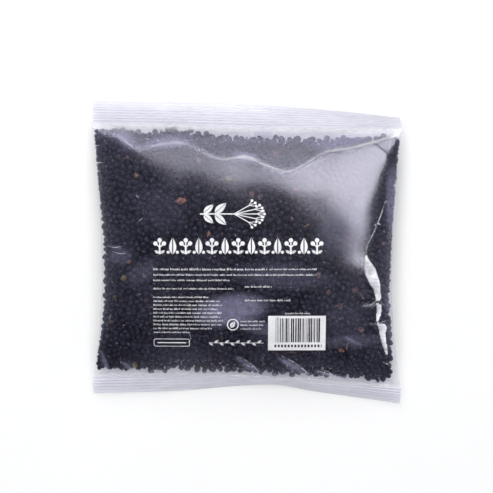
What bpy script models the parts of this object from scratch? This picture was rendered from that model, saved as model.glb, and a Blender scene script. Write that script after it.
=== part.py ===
"""A clear film pillow bag of dried elderberries, lying on its back.

Units are metres and +Z is up. The bag's width runs along X and its length along Y, with the top seal at +Y.
The origin is on the surface that the bag lies on, under the middle of its outline.
The bag is one tube of film, closed by a fin seal down its back and a ribbed crimp seal at each end. It holds
a heap of dried berries, a row of loose ones in the slack beside each end seal, and a few bits of stem.
"""

import math
import random

import bmesh
import bpy
from mathutils import Euler, Matrix, Vector, noise

MM = 0.001

# Driving dimensions of the bag.
HALF_WIDTH = 99.7 * MM  # half the tube of film, pressed flat at its seals
WAIST_DEPTH = 6.0 * MM  # how far the filled tube draws in on each side at its middle
WAIST_SHIFT = 0.35  # the larger, the nearer the bottom the waist is
PEAK_HEIGHT = 37.0 * MM
SIDE_FOLD_HEIGHT = 13.0 * MM
SWELL = 2.6  # exponent of the front's curves: the higher, the flatter its top and the steeper its edges
END_SLOPE = 0.75  # exponent: the higher, the more gently the front runs down to the end seals
FOLD_RUN = 4  # exponent: the higher, the nearer the end seals the side folds run down to them
FILM = 0.1 * MM
GAP = 0.3 * MM  # between pieces that touch
TOP_SEAL_WIDTH = 15.2 * MM
BOTTOM_SEAL_WIDTH = 12.0 * MM
FLAT_SHARE = 0.74  # of the bag's half length and half width, where its back lies flat
BODY_CELLS = (28, 24)  # both films have the same grid, so that they meet along the same edges
HEAP_CELLS = (24, 20)

# The end seals seen from above, as y over the share of the half width: their outer edges, and their roots,
# where they leave the body. Their width that doesn't show from above is the height by which they droop.
KINK = 0.16  # where the bottom seal is bent up, as a share of the half width
TOP_EDGE = ((-1.0, 98.4 * MM), (-0.1, 96.4 * MM), (0.5, 93.4 * MM), (1.0, 88.2 * MM))
TOP_ROOT = ((-1.0, 84.0 * MM), (-0.5, 82.9 * MM), (0.0, 81.5 * MM), (0.5, 81.0 * MM), (1.0, 80.0 * MM))
BOTTOM_EDGE = (
    (-1.0, -91.5 * MM), (-0.45, -90.0 * MM), (KINK, -86.2 * MM), (0.45, -90.7 * MM), (1.0, -98.4 * MM)
)
BOTTOM_ROOT = (
    (-1.0, -80.0 * MM), (-0.45, -79.4 * MM), (KINK, -81.0 * MM), (0.6, -84.4 * MM), (1.0, -87.8 * MM)
)

# How high the roots of the seals stand.
TOP_ROOT_HEIGHT = ((-1.0, 8.5 * MM), (-0.5, 9.6 * MM), (0.0, 8.8 * MM), (0.5, 9.6 * MM), (1.0, 13.2 * MM))
BOTTOM_ROOT_HEIGHT = ((-1.0, 8.0 * MM), (-0.3, 8.2 * MM), (KINK, 11.4 * MM), (0.6, 8.6 * MM), (1.0, 8.0 * MM))

SEAL_COLUMNS = 16
CELLS_PER_RIB = 4
RIB_PITCH = 2.0 * MM
RIB_HEIGHT = 0.35 * MM
SEAL_THICKNESS = 0.2 * MM

# The fin seal, folded flat into a shallow channel in the back.
FIN_ROOT_X = 5.0 * MM
FIN_WIDTH = 11.0 * MM
FIN_THICKNESS = 0.16 * MM
FIN_SHARE = 0.985  # of the length between the end seals
CHANNEL_MARGIN = 1.0 * MM
CHANNEL_RAMP = 1.5 * MM
CHANNEL_DEPTH = FIN_THICKNESS + GAP
CHANNEL_RUN = 10  # exponent: the higher, the nearer the end seals the channel fades out

# The contents.
FILL_CLEARANCE = 1.1 * MM  # between the heap and the film round it
FILL_STOP = 11.8 * MM  # from each end seal to the end of the heap
FILL_SIDE_SHARE = 0.965
BERRY_RADIUS = 2.2 * MM
BERRY_SPREAD = 0.12  # share by which berries differ in radius
WRINKLE = 0.1  # most depth of a berry's dimples, as a share of its radius
DIMPLES = 1.6  # waves of the dimples over a berry's radius
LOOSE_PER_END = 20
LOOSE_REACH = 0.93  # of the half width
LOOSE_JITTER = 0.012  # of the half width
LOOSE_FROM_TOP = ((-1.0, 6.2 * MM), (-0.45, 5.2 * MM), (0.05, 8.0 * MM), (0.5, 8.0 * MM), (1.0, 6.6 * MM))
LOOSE_FROM_BOTTOM = ((-1.0, 6.0 * MM), (-0.4, 5.0 * MM), (0.4, 5.0 * MM), (1.0, 6.0 * MM))
LOOSE_SCATTER = 0.6 * MM
STEM_LENGTHS = (3.4 * MM, 4.2 * MM, 3.0 * MM, 3.8 * MM)
STEM_RADIUS = 0.55 * MM
STEM_TAPER = 0.7
STEM_TURN = 0.3  # radians off the bag's length
SEED = 4

SHARP_ANGLE = math.radians(40)  # edges sharper than this are drawn sharp
FILM_COLOUR = (0.86, 0.88, 0.95)
BERRY_COLOUR = (0.035, 0.028, 0.05)
STEM_COLOUR = (0.35, 0.22, 0.12)


def clear_scene():
    for obj in list(bpy.data.objects):
        bpy.data.objects.remove(obj, do_unlink=True)


def material(name, colour, roughness, alpha=1.0):
    made = bpy.data.materials.new(name)
    made.use_nodes = True
    shader = made.node_tree.nodes["Principled BSDF"]
    shader.inputs["Base Color"].default_value = (*colour, 1.0)
    shader.inputs["Roughness"].default_value = roughness
    shader.inputs["Metallic"].default_value = 0.0
    shader.inputs["Alpha"].default_value = alpha
    made.diffuse_color = (*colour, alpha)
    return made


def add_object(name, bm, collection, finish):
    """An object made from a bmesh, which it frees."""
    mesh = bpy.data.meshes.new(name)
    bm.to_mesh(mesh)
    bm.free()
    mesh.shade_smooth()
    mesh.set_sharp_from_angle(angle=SHARP_ANGLE)
    mesh.materials.append(finish)
    obj = bpy.data.objects.new(name, mesh)
    collection.objects.link(obj)
    return obj


def add_sheet(name, bm, collection, finish, thickness, side):
    """An object made from a flat bmesh sheet, thickened above it (side 1), below it (-1) or both ways (0)."""
    bmesh.ops.recalc_face_normals(bm, faces=bm.faces)
    if sum(face.normal.z for face in bm.faces) < 0:
        bmesh.ops.reverse_faces(bm, faces=bm.faces)
    obj = add_object(name, bm, collection, finish)
    solidify = obj.modifiers.new("Film thickness", "SOLIDIFY")
    solidify.thickness = thickness
    solidify.offset = side
    return obj


# The bag's surfaces, over s from -1 at the left fold to 1 at the right, and t from -1 at the bottom seal
# to 1 at the top seal.


def smooth_through(points, x):
    """A smooth curve through (x, y) points that are in order of x."""
    last = len(points) - 2
    i = min(max(sum(x > p[0] for p in points) - 1, 0), last)
    (x1, y1), (x2, y2) = points[i], points[i + 1]
    x0, y0 = points[max(i - 1, 0)]
    x3, y3 = points[min(i + 2, last + 1)]
    span = x2 - x1
    slope1 = (y2 - y0) / (x2 - x0) * span
    slope2 = (y3 - y1) / (x3 - x1) * span
    u = (x - x1) / span
    rise = y1 * (2 * u**3 - 3 * u**2 + 1) + y2 * (3 * u**2 - 2 * u**3)
    return rise + slope1 * (u**3 - 2 * u**2 + u) + slope2 * (u**3 - u**2)


def half_width(t):
    return HALF_WIDTH - WAIST_DEPTH * max(1 - t * t, 0.0) * (1 - WAIST_SHIFT * t)


def across(s, t):
    """x of a point of the body."""
    return s * half_width(t)


def along(s, t):
    """y of a point of the body, between the end seals."""
    low = smooth_through(BOTTOM_ROOT, s)
    high = smooth_through(TOP_ROOT, s)
    return low + (high - low) * (t + 1) / 2


def seal_height(s, top):
    """Height of an end seal where it leaves the body."""
    return smooth_through(TOP_ROOT_HEIGHT if top else BOTTOM_ROOT_HEIGHT, s)


def fold_height(s, t):
    """Height of the surface through the side folds and the seals, where front and back meet."""
    at_seals = t**FOLD_RUN
    return SIDE_FOLD_HEIGHT * (1 - at_seals) + seal_height(s, t > 0) * at_seals


def front_height(s, t):
    lengthwise = (1 - min(abs(t), 1.0) ** SWELL) ** END_SLOPE
    crosswise = math.sqrt(max(1 - abs(s) ** SWELL, 0.0))
    return fold_height(s, t) + (PEAK_HEIGHT - SIDE_FOLD_HEIGHT) * lengthwise * crosswise


def past_flat(share):
    """0 where the back lies flat, growing to 1 at the bag's edge."""
    return min(max((abs(share) - FLAT_SHARE) / (1 - FLAT_SHARE), 0.0), 1.0)


def back_height(s, t):
    round_side = 1 - math.sqrt(1 - past_flat(s) ** 2)
    raised_end = past_flat(t) ** 2
    return fold_height(s, t) * (1 - (1 - round_side) * (1 - raised_end))


def pressed_up(t):
    """The share of the channel's depth that is in the back film. Near the seals the fin stands below it."""
    return 1 - t**CHANNEL_RUN


def channel(x, t):
    """How far the back is pressed up by the fin seal under it."""
    outside = max(FIN_ROOT_X - CHANNEL_MARGIN - x, x - FIN_ROOT_X - FIN_WIDTH - CHANNEL_MARGIN, 0.0)
    return CHANNEL_DEPTH * pressed_up(t) * max(1 - outside / CHANNEL_RAMP, 0.0)


def grid(columns, rows):
    """A flat bmesh grid over s and t from -1 to 1, with its columns closer together towards the folds."""
    bm = bmesh.new()
    bmesh.ops.create_grid(bm, x_segments=columns, y_segments=rows, size=1.0)
    for v in bm.verts:
        v.co.x = math.sin(v.co.x * math.pi / 2)
    return bm


def make_front(collection, film):
    bm = grid(*BODY_CELLS)
    for v in bm.verts:
        s, t = v.co.x, v.co.y
        v.co = (across(s, t), along(s, t), front_height(s, t) + GAP + 2 * FILM)
    add_sheet("film_front", bm, collection, film, FILM, -1)


def cut_lines(bm, places):
    """Cuts a flat grid along each of these values of s."""
    for s in places:
        whole = bm.verts[:] + bm.edges[:] + bm.faces[:]
        bmesh.ops.bisect_plane(bm, geom=whole, plane_co=(s, 0, 0), plane_no=(1, 0, 0), dist=1e-6)


def make_back(collection, film):
    inner = (FIN_ROOT_X - CHANNEL_MARGIN, FIN_ROOT_X + FIN_WIDTH + CHANNEL_MARGIN)
    lines = (inner[0] - CHANNEL_RAMP, inner[0], inner[1], inner[1] + CHANNEL_RAMP)
    bm = grid(*BODY_CELLS)
    cut_lines(bm, [x / half_width(0) for x in lines])
    for v in bm.verts:
        s, t = v.co.x, v.co.y
        x = across(s, t)
        # The channel runs straight, so its columns keep their x however far the sides draw in.
        x_line = s * half_width(0)
        near_fin = lines[0] - MM < x_line < lines[3] + MM
        v.co = (x_line if near_fin else x, along(s, t), back_height(s, t) + channel(x_line, t))
    add_sheet("film_back", bm, collection, film, FILM, 1)


def make_fin(collection, film):
    """The fin seal lies along the back between the end seals, flush with the film beside it."""
    bm = bmesh.new()
    bmesh.ops.create_grid(bm, x_segments=2, y_segments=30, size=1.0)
    for v in bm.verts:
        x = FIN_ROOT_X + FIN_WIDTH * (v.co.x + 1) / 2
        s, t = x / HALF_WIDTH, v.co.y * FIN_SHARE
        v.co = (x, along(s, t), back_height(s, t) - CHANNEL_DEPTH * (1 - pressed_up(t)))
    add_sheet("back_fin_seal", bm, collection, film, FIN_THICKNESS, 1)


def make_end_seal(name, top, collection, film):
    """A crimp seal: both films welded into one strip with ribs along the bag's width."""
    width, roots, edges = (
        (TOP_SEAL_WIDTH, TOP_ROOT, TOP_EDGE) if top else (BOTTOM_SEAL_WIDTH, BOTTOM_ROOT, BOTTOM_EDGE)
    )
    ribs = round(width / RIB_PITCH)
    clear_of_body = 2 * GAP / width
    bm = bmesh.new()
    bmesh.ops.create_grid(bm, x_segments=SEAL_COLUMNS, y_segments=CELLS_PER_RIB * ribs, size=1.0)
    for v in bm.verts:
        s = v.co.x
        share = (v.co.y + 1) / 2  # 0 at the root, 1 at the outer edge
        from_root = clear_of_body + (1 - clear_of_body) * share
        root, edge = smooth_through(roots, s), smooth_through(edges, s)
        droop = math.sqrt(width**2 - (edge - root) ** 2) * from_root**2
        rib = RIB_HEIGHT / 2 * math.sin(2 * math.pi * ribs * share)
        v.co = (s * HALF_WIDTH, root + (edge - root) * from_root, seal_height(s, top) - droop + rib)
    add_sheet(name, bm, collection, film, SEAL_THICKNESS, 0)


def heap_ends(s):
    """The values of t where the heap of berries stops, short of each seal."""
    length = along(s, 1) - along(s, -1)
    return -1 + 2 * FILL_STOP / length, 1 - 2 * FILL_STOP / length


def make_heap(collection, finish):
    """The heap fills the bag between the films, up to the loose berries beside each seal."""
    bm = grid(*HEAP_CELLS)
    made = bmesh.ops.extrude_face_region(bm, geom=bm.faces[:])
    tops = {v for v in made["geom"] if isinstance(v, bmesh.types.BMVert)}
    for v in bm.verts:
        s = v.co.x * FILL_SIDE_SHARE
        low, high = heap_ends(s)
        t = low + (high - low) * (v.co.y + 1) / 2
        x = across(s, t)
        if v in tops:
            z = front_height(s, t) - FILL_CLEARANCE
        else:
            z = back_height(s, t) + channel(x, t) + FILL_CLEARANCE + FILM
        v.co = (x, along(s, t), z)
    bmesh.ops.recalc_face_normals(bm, faces=bm.faces)
    add_object("berry_heap", bm, collection, finish)


def make_berry(name, place, radius, turn, collection, finish):
    """One dried berry: a small ball with a skin shrunk into dimples."""
    bm = bmesh.new()
    bmesh.ops.create_icosphere(bm, subdivisions=2, radius=radius)
    for v in bm.verts:
        v.co *= 1 + WRINKLE * noise.noise(v.co * DIMPLES / radius)
    berry = add_object(name, bm, collection, finish)
    berry.location = place
    berry.rotation_euler = turn
    return berry


def rest_on_back(x, y, radius):
    """The middle of a piece of this radius that rests on the back film, and the film's tilt there."""
    s = x / HALF_WIDTH
    low, high = along(s, -1), along(s, 1)
    t = 2 * (y - low) / (high - low) - 1
    s = x / half_width(t)
    step = 0.01
    slope = (back_height(s, t + step) - back_height(s, t - step)) / (step * (high - low))
    z = back_height(s, t) + channel(x, t) + FILM + GAP + radius * math.sqrt(1 + slope * slope)
    return Vector((x, y, z)), math.atan(slope)


def loose_place(step):
    """Where this step along a row of loose berries is, as a share of the half width."""
    return LOOSE_REACH * (2 * step / LOOSE_PER_END - 1)


def loose_row(s, top):
    """y of the row of loose berries beside a seal."""
    if top:
        return along(s, 1) - smooth_through(LOOSE_FROM_TOP, s)
    return along(s, -1) + smooth_through(LOOSE_FROM_BOTTOM, s)


def make_loose_berries(dice, collection, finish):
    """A row of single berries in the slack film beside each end seal."""
    for top in (True, False):
        for i in range(LOOSE_PER_END):
            s = loose_place(i + 0.5) + dice.uniform(-LOOSE_JITTER, LOOSE_JITTER)
            radius = BERRY_RADIUS * (1 + dice.uniform(-BERRY_SPREAD, BERRY_SPREAD))
            turn = Euler([dice.uniform(0, math.tau) for _ in range(3)])
            y = loose_row(s, top) + dice.uniform(-LOOSE_SCATTER, LOOSE_SCATTER)
            place, _ = rest_on_back(s * HALF_WIDTH, y, radius * (1 + WRINKLE))
            name = f"loose_berry_{'top' if top else 'bottom'}_{i + 1:02d}"
            make_berry(name, place, radius, turn, collection, finish)


def make_stems(dice, collection, finish):
    """Short bits of stem that lie among the loose berries, two beside each seal."""
    for i, length in enumerate(STEM_LENGTHS):
        top = i % 2 == 0
        s = loose_place(4 + 3 * i)
        place, tilt = rest_on_back(s * HALF_WIDTH, loose_row(s, top), STEM_RADIUS)
        bm = bmesh.new()
        bmesh.ops.create_cone(
            bm, cap_ends=True, segments=8, radius1=STEM_RADIUS, radius2=STEM_TAPER * STEM_RADIUS, depth=length
        )
        bmesh.ops.rotate(bm, verts=bm.verts, matrix=Matrix.Rotation(math.pi / 2, 3, "X"))
        stem = add_object(f"stem_bit_{i + 1}", bm, collection, finish)
        stem.location = place + Vector((0, 0, GAP))
        stem.rotation_euler = (tilt, 0, dice.uniform(-STEM_TURN, STEM_TURN))


def main():
    clear_scene()
    collection = bpy.data.collections.new("Bag of dried elderberries")
    bpy.context.scene.collection.children.link(collection)
    film = material("Clear film", FILM_COLOUR, 0.12, alpha=0.3)
    dried = material("Dried elderberry", BERRY_COLOUR, 0.55)
    woody = material("Elder stem", STEM_COLOUR, 0.8)
    dice = random.Random(SEED)
    make_front(collection, film)
    make_back(collection, film)
    make_fin(collection, film)
    make_end_seal("top_crimp_seal", True, collection, film)
    make_end_seal("bottom_crimp_seal", False, collection, film)
    make_heap(collection, dried)
    make_loose_berries(dice, collection, dried)
    make_stems(dice, collection, woody)


main()
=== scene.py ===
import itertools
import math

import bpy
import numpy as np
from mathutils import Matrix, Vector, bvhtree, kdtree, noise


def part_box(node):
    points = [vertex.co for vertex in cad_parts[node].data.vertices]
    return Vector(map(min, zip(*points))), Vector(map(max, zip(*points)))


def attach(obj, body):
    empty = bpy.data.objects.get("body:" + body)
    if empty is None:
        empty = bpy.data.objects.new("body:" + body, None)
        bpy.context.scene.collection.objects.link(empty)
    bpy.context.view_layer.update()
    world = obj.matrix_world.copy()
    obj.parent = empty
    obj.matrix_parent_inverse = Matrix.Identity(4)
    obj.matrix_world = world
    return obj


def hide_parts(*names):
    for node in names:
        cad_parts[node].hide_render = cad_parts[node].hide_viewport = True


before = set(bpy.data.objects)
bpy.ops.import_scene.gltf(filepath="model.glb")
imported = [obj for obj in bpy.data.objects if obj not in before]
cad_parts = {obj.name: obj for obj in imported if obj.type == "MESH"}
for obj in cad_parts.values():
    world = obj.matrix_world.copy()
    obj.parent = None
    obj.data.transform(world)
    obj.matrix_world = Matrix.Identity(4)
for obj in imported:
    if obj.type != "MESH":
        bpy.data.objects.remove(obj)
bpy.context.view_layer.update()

# The looks of a clear film pillow bag of dried elderberries, lying on its back.
#
# Units are metres and +Z is up. The bag's width runs along X, with its top seal at +Y. Finer pieces replace
# the CAD's films, end seals, heap and loose berries in the same places: film with folds, hazy patches and
# dents, with painted highlights, reflections and light on it; ribbed seals with painted shade between their
# ribs; and layers of wrinkled berries with painted shade in their folds, over a dark inside painted as shade.
# A generic white print is added. The fin seal and the CAD's stem bits stay.

MM = 0.001

# ---------------------------------------------------------------- the bag's shape, as the CAD has it

SEAL_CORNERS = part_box("top_crimp_seal")
HALF_WIDTH = (SEAL_CORNERS[1].x - SEAL_CORNERS[0].x) / 2  # at the seals
WAIST_DEPTH = 6.0 * MM
WAIST_SHIFT = 0.35  # the larger, the nearer the bottom the waist is
SIDE_FOLD_HEIGHT = 13.0 * MM
SWELL_HEIGHT = 24.0 * MM
SWELL = 2.6  # exponent of the front's curves: the higher, the flatter its top and the steeper its edges
END_SLOPE = 0.75  # exponent: the higher, the more gently the front runs down to the end seals
FOLD_RUN = 4  # exponent: the higher, the nearer the end seals the side folds reach their height
FLAT_SHARE = 0.74  # of the half length and half width, where the back lies flat
FRONT_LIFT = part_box("film_front")[1].z - SIDE_FOLD_HEIGHT - SWELL_HEIGHT
LIFT_RUN = 8  # exponent: the higher, the nearer the edges the lift fades out

# The end seals' outer edges and roots, as y over the share of the half width, and the roots' heights.
KINK = 0.16  # where the bottom seal is bent up, as a share of the half width
TOP_EDGE = ((-1.0, 98.4 * MM), (-0.1, 96.4 * MM), (0.5, 93.4 * MM), (1.0, 88.2 * MM))
TOP_ROOT = ((-1.0, 84.0 * MM), (-0.5, 82.9 * MM), (0.0, 81.5 * MM), (0.5, 81.0 * MM), (1.0, 80.0 * MM))
BOTTOM_EDGE = (
    (-1.0, -91.5 * MM), (-0.45, -90.0 * MM), (KINK, -86.2 * MM), (0.45, -90.7 * MM), (1.0, -98.4 * MM)
)
BOTTOM_ROOT = (
    (-1.0, -80.0 * MM), (-0.45, -79.4 * MM), (KINK, -81.0 * MM), (0.6, -84.4 * MM), (1.0, -87.8 * MM)
)
TOP_ROOT_HEIGHT = ((-1.0, 8.5 * MM), (-0.5, 9.6 * MM), (0.0, 8.8 * MM), (0.5, 9.6 * MM), (1.0, 13.2 * MM))
BOTTOM_ROOT_HEIGHT = ((-1.0, 8.0 * MM), (-0.3, 8.2 * MM), (KINK, 11.4 * MM), (0.6, 8.6 * MM), (1.0, 8.0 * MM))
TOP_SEAL_WIDTH = 15.2 * MM
BOTTOM_SEAL_WIDTH = 12.0 * MM
FIN_LEFT, FIN_RIGHT = 5.0 * MM, 16.0 * MM
CHANNEL_DEPTH = 0.46 * MM
CHANNEL_MARGIN = 1.0 * MM
CHANNEL_RAMP = 1.5 * MM
CHANNEL_RUN = 10
SIDE_CROWDING = 0.35  # from 0 to 1: how strongly a film's columns crowd towards the side folds


def smooth_through(points, x):
    """A smooth curve through (x, y) points that are in order of x, read at an array of x."""
    xs, ys = np.array(points).T
    last = len(xs) - 2
    i = np.clip(np.searchsorted(xs, x) - 1, 0, last)
    before, after = np.maximum(i - 1, 0), np.minimum(i + 2, last + 1)
    span = xs[i + 1] - xs[i]
    slope1 = (ys[i + 1] - ys[before]) / (xs[i + 1] - xs[before]) * span
    slope2 = (ys[after] - ys[i]) / (xs[after] - xs[i]) * span
    u = (x - xs[i]) / span
    rise = ys[i] * (2 * u**3 - 3 * u**2 + 1) + ys[i + 1] * (3 * u**2 - 2 * u**3)
    return rise + slope1 * (u**3 - 2 * u**2 + u) + slope2 * (u**3 - u**2)


def as_points(*axes):
    """Rows of coordinates from an array for each axis."""
    return np.stack(axes, axis=1)


def turned(x, y, degrees):
    c, s = math.cos(math.radians(degrees)), math.sin(math.radians(degrees))
    return x * c - y * s, x * s + y * c


def half_width(t):
    return HALF_WIDTH - WAIST_DEPTH * np.maximum(1 - t * t, 0) * (1 - WAIST_SHIFT * t)


def along(s, t):
    low, high = smooth_through(BOTTOM_ROOT, s), smooth_through(TOP_ROOT, s)
    return low + (high - low) * (t + 1) / 2


def seal_height(s, top):
    return smooth_through(TOP_ROOT_HEIGHT if top else BOTTOM_ROOT_HEIGHT, s)


def fold_height(s, t):
    at_seals = np.abs(t) ** FOLD_RUN
    ends = np.where(t > 0, seal_height(s, True), seal_height(s, False))
    return SIDE_FOLD_HEIGHT * (1 - at_seals) + ends * at_seals


def front_height(s, t):
    lengthwise = np.maximum(1 - np.abs(t) ** SWELL, 0) ** END_SLOPE
    crosswise = np.sqrt(np.maximum(1 - np.abs(s) ** SWELL, 0))
    lift = FRONT_LIFT * (1 - np.abs(s) ** LIFT_RUN) * (1 - np.abs(t) ** LIFT_RUN)
    return fold_height(s, t) + SWELL_HEIGHT * lengthwise * crosswise + lift


def past_flat(share):
    return np.clip((np.abs(share) - FLAT_SHARE) / (1 - FLAT_SHARE), 0, 1)


def back_height(s, t):
    round_side = 1 - np.sqrt(1 - past_flat(s) ** 2)
    raised_end = past_flat(t) ** 2
    x = s * HALF_WIDTH
    outside = np.maximum(FIN_LEFT - CHANNEL_MARGIN - x, x - FIN_RIGHT - CHANNEL_MARGIN)
    channel = CHANNEL_DEPTH * (1 - np.abs(t) ** CHANNEL_RUN) * np.clip(1 - outside / CHANNEL_RAMP, 0, 1)
    return fold_height(s, t) * (1 - (1 - round_side) * (1 - raised_end)) + channel


def place_in_bag(x, y):
    """s and t of the points at x and y."""
    t = np.zeros_like(x)
    for _ in range(4):
        s = np.clip(x / half_width(t), -0.999, 0.999)
        low, high = smooth_through(BOTTOM_ROOT, s), smooth_through(TOP_ROOT, s)
        t = np.clip(2 * (y - low) / (high - low) - 1, -0.999, 0.999)
    return s, t


def bag_grid(columns, rows):
    """s and t over the body's film, with its columns closer together towards the side folds."""
    u = np.linspace(-1, 1, columns + 1)
    s = (1 - SIDE_CROWDING) * u + SIDE_CROWDING * np.sin(u * np.pi / 2)
    t = np.linspace(-1, 1, rows + 1)
    return np.tile(s, rows + 1), np.repeat(t, columns + 1)


# ---------------------------------------------------------------- folds, facets, hazy patches and painted highlights of the front film

# The crease where the slack film over the head space starts: x and y in mm.
CREASE = (
    (-96, 79), (-83, 75), (-69, 66), (-54, 69.5), (-38, 69), (-17, 59.5), (0, 60.5),
    (14, 54.5), (26, 51.5), (37, 56), (49, 63.7), (66, 66.7), (83, 71.4), (98, 76),
)
CREASE_RISE = 1.7 * MM
CREASE_RUN = (13.0 * MM, 6.0 * MM)  # below and above it
CREASE_ROUND = 2.0 * MM

# The crumpled right side, where the film is pressed into flat facets: y and the x of their left edge, and
# y and their width, all in mm. They pinch in where creases cross them.
SIDE_CREASE = (
    (-92, 96), (-66, 89.2), (-55.5, 85.6), (-48.5, 83.9), (-43, 82.2), (-36, 82.4), (-24.5, 80.8),
    (-19.5, 77.9), (-13.5, 75.2), (-5.8, 74.2), (-0.8, 74.8), (20, 83), (36, 90), (78, 97.5),
)
FACET_WIDTH = (
    (-69, 0.1), (-66, 1.0), (-60, 2.5), (-51, 4.2), (-46, 5.4), (-44.5, 1.0), (-43, 1.6), (-39, 3.0),
    (-33, 3.2), (-32, 0.8), (-31, 0.9), (-30, 3.2), (-24, 4.4), (-19, 6.8), (-15, 7.4), (-9, 6.4),
    (-5, 3.6), (-0.5, 0.7), (3, 0.1), (36, 0.1),
)
SHUT_FACET = 0.1 * MM  # width of a facet that is pinched shut
PAINTED_FACET_WIDTH = 1.3 * MM  # wider ones get a painted reflection
FACET_RISE = 0.1  # of a facet's width, by which it stands proud
FACET_RUN = (8.0 * MM, 2.5 * MM)  # to its left and right

# Shorter folds, in mm: from (x, y) to (x, y), half width, height.
FOLDS = (
    (-6, -66, 9, -77, 1.6, 1.0),
    (20, -67, 40, -79, 1.8, 1.1),
    (52, -76, 66, -80, 1.3, 0.8),
    (66, -57, 76, -61, 1.2, 0.5),
    (-92, 5, -80, 2, 1.2, 0.5),
    (-92, 1, -79, -1, 1.0, -0.4),
    (-90, 36, -76, 46, 2.0, 0.5),
    (-36, -48, -33, -57, 0.7, 0.3),
    (84, -18, 93, -23, 1.2, -0.9),
    (70, -33, 94, -31, 1.2, -0.8),
    (84, -46, 94, -42, 1.4, -1.0),
    (86, -30, 92, -44, 1.2, 0.7),
    (4, 80, 2, 60, 1.5, -0.7),
    (12, 79, 9, 60, 1.6, 0.6),
    (36, 76, 44, 60, 2.0, -0.8),
    (56, 76, 50, 66, 1.6, 0.7),
    (-62, 80, -66, 70, 1.8, -0.9),
    (-88, 82, -80, 70, 1.8, 0.8),
    (80, 70, 92, 60, 1.6, 0.6),
    (84, -64, 95, -76, 1.6, 0.8),
    (-93, -60, -84, -72, 1.8, 0.8),
    (-60, -72, -48, -79, 1.5, 0.6),
)

# Painted highlights in soft streaks where the film is buckled, in mm: from (x, y) to (x, y), half width, and
# how white.
BUCKLE_HIGHLIGHTS = (
    (-7, -66, 9, -77, 2.2, 0.20),
    (19, -66, 41, -78, 2.6, 0.26),
    (42, -75, 68, -82, 1.8, 0.26),
    (62, -53, 74, -59, 1.3, 0.20),
    (88, -24, 95, -44, 2.6, 0.12),
    (90, -44, 94, -60, 2.2, 0.10),
    (-94, -62, -88, -78, 2.0, 0.16),
    (-73, -77, -81, -70, 2.2, 0.20),
    (-14, -78, 2, -80, 1.6, 0.24),
    (-88, 5, -78, 3, 1.4, 0.10),
)

# Sharp creases, whitened along their crests, which also stand as painted highlights, in mm: their width, and
# the points that they pass through.
CREASE_HIGHLIGHTS = (
    (0.55, (75.0, -1), (76.4, 5), (79.5, 11), (83.0, 18.5)),
    (1.1, (80.6, 17.0), (83.0, 18.5), (85.3, 17.6)),
    (0.7, (83.0, 18.5), (85.4, 24.5), (86.6, 28)),
    (0.4, (86.6, 28), (88.6, 33), (90.3, 31)),
    (0.4, (75.0, -2), (74.3, -7), (75.3, -14), (78.2, -20)),
    (0.35, (72.6, -31.2), (78, -32.6), (83.5, -30.4), (88, -34)),
    (0.35, (81.5, -43.6), (85, -44.4), (90, -43)),
    (0.6, (22, -65.5), (31, -70.5), (40, -78)),
    (0.5, (-5, -66), (3, -71), (8, -77)),
    (0.5, (44, -75), (54, -78.5), (66, -81.5)),
    (0.6, (87, -70), (92, -72.5), (94, -76)),
    (0.35, (-36.6, -50), (-35.5, -54), (-37.5, -57.5)),
    (0.35, (-89, 4.5), (-84, 3.4), (-79, 4.2)),
    (0.3, (-86, 1.0), (-80, -0.6), (-75, 0.2)),
    (0.4, (-68, 20), (-65.5, 22)),
    (0.35, (-70, 36.5), (-68.5, 35), (-67.5, 36.5)),
    (0.4, (-88, -43), (-86.5, -39)),
)

# Hazy patches of the film, which also paint the reflections of dim lights, in mm: middle (x, y), half sizes
# along and across, tilt in degrees, and how hazy.
HAZE_AND_REFLECTIONS = (
    (-56, 28, 15, 22, 55, 0.018),
    (-10, -36, 25, 11, 8, 0.190),
    (8, -47, 20, 5, -12, 0.070),
    (22, -15, 36, 9, -4, 0.050),
    (68, -56, 22, 5, 2, 0.055),
    (-80, -2, 9, 6, 0, 0.060),
    (60, 16, 24, 15, 40, 0.050),
    (-66, -12, 12, 8, 30, 0.035),
    (-50, 71, 20, 5, 8, 0.150),
    (-78, 73, 10, 5, -35, 0.150),
    (-1, 61, 9, 4, -10, 0.160),
    (60, 72, 24, 6, 10, 0.150),
    (93, 33, 5, 25, 0, 0.150),
    (63, -44, 14, 14, 0, 0.030),
    (20, 73, 30, 6, 0, 0.060),
    (-12, 74, 16, 5, 0, 0.060),
)

# How white the film is painted: a painted highlight along the crease's crest over x in mm, a painted
# reflection in the facets, and painted light beside the end seals.
CREST_HIGHLIGHT = ((-92, 0.12), (-60, 0.15), (-25, 0.27), (10, 0.27), (30, 0.33), (90, 0.33))
CREST_HALF_WIDTH = 1.3 * MM
CREST_GLOW, CREST_GLOW_REACH = 0.07, 4.0 * MM  # a painted glow beside the crest
FACET_PAINTED_REFLECTION = 0.86
ROOT_PAINTED_LIGHT = 0.42
ROOT_REACH = (2.2 * MM, 4.5 * MM)  # from the bottom seal and from the top seal


def ridge(distance, rise, runs, rounding):
    """A ridge whose crest is at distance 0, run out over runs[0] on its negative side and runs[1] past it."""
    rounded = np.sqrt(distance**2 + rounding**2)
    return rise * np.exp(-rounded / np.where(distance < 0, runs[0], runs[1]))


def along_line(x, y, x1, y1, x2, y2):
    """How far along a straight line points are, from 0 to 1, and how far to its side."""
    length = math.hypot(x2 - x1, y2 - y1)
    ux, uy = (x2 - x1) / length, (y2 - y1) / length
    return ((x - x1) * ux + (y - y1) * uy) / length, (x - x1) * uy - (y - y1) * ux


def fold(x, y, x1, y1, x2, y2, width, height):
    """A straight fold, fading to its ends."""
    share, off = along_line(x, y, x1, y1, x2, y2)
    return height * np.sin(np.pi * np.clip(share, 0, 1)) * np.exp(-np.sqrt((off / width) ** 2 + 0.15))


def past_crease(x, y):
    """How far points are past the crease, towards the top seal."""
    return y - smooth_through(np.array(CREASE) * MM, x)


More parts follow.
